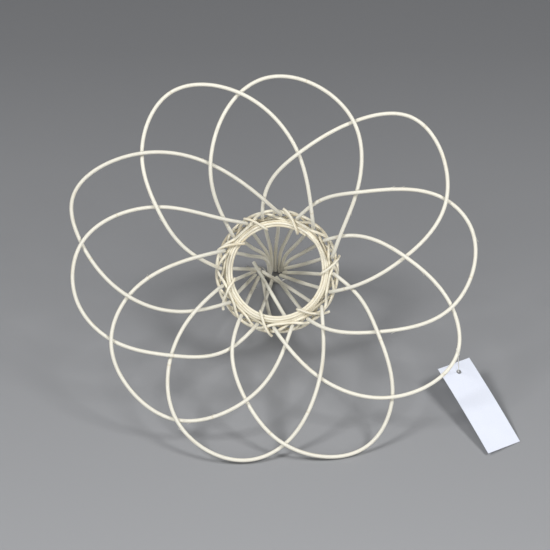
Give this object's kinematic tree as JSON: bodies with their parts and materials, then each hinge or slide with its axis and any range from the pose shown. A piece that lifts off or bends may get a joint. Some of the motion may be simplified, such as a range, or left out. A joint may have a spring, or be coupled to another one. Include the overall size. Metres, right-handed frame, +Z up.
{
  "type": "cane flower ornament",
  "caption": "Openwork flower of bent reed canes passed through a woven collar, with gathered ends behind and a blank paper swing tag.",
  "frame": {"origin": "on the ground, under the middle of the whole object's box", "axes": "+Z up; the open flower faces -Y and leans back 45 degrees; +X is its right side seen from the front"},
  "size_m": [0.357, 0.2172, 0.216],
  "materials": {
    "petal_reed": "bare pale reed cane with a fine lengthwise grain",
    "collar_reed": "thinner bare reed, woven",
    "tie_wire": "dull soft binding wire",
    "tag_card": "blank white card",
    "tag_thread": "twisted white cotton thread"
  },
  "bodies": {
    "flower": {"petal_cane_01": "petal_reed", "petal_cane_02": "petal_reed", "petal_cane_03": "petal_reed", "petal_cane_04": "petal_reed", "petal_cane_05": "petal_reed", "petal_cane_06": "petal_reed", "petal_cane_07": "petal_reed", "petal_cane_08": "petal_reed", "petal_cane_09": "petal_reed", "petal_cane_10": "petal_reed", "collar_inner_hoop_1": "collar_reed", "collar_inner_hoop_2": "collar_reed", "collar_inner_hoop_3": "collar_reed", "collar_inner_hoop_4": "collar_reed", "collar_inner_hoop_5": "collar_reed", "collar_outer_hoop_1": "collar_reed", "collar_outer_hoop_2": "collar_reed", "collar_outer_hoop_3": "collar_reed", "collar_lashing": "collar_reed", "stem_tie": "tie_wire", "side_tie": "tie_wire"},
    "tag": {"swing_tag": "tag_card", "tag_thread": "tag_thread"}
  },
  "joints": [
    {"name": "tag_swing", "type": "hinge", "parent": "flower", "child": "tag", "pos_m": [0.12837, -0.0453, 0.06309], "axis": [-0.4067, -0.646, -0.646], "range_deg": [0, 80]}
  ]
}
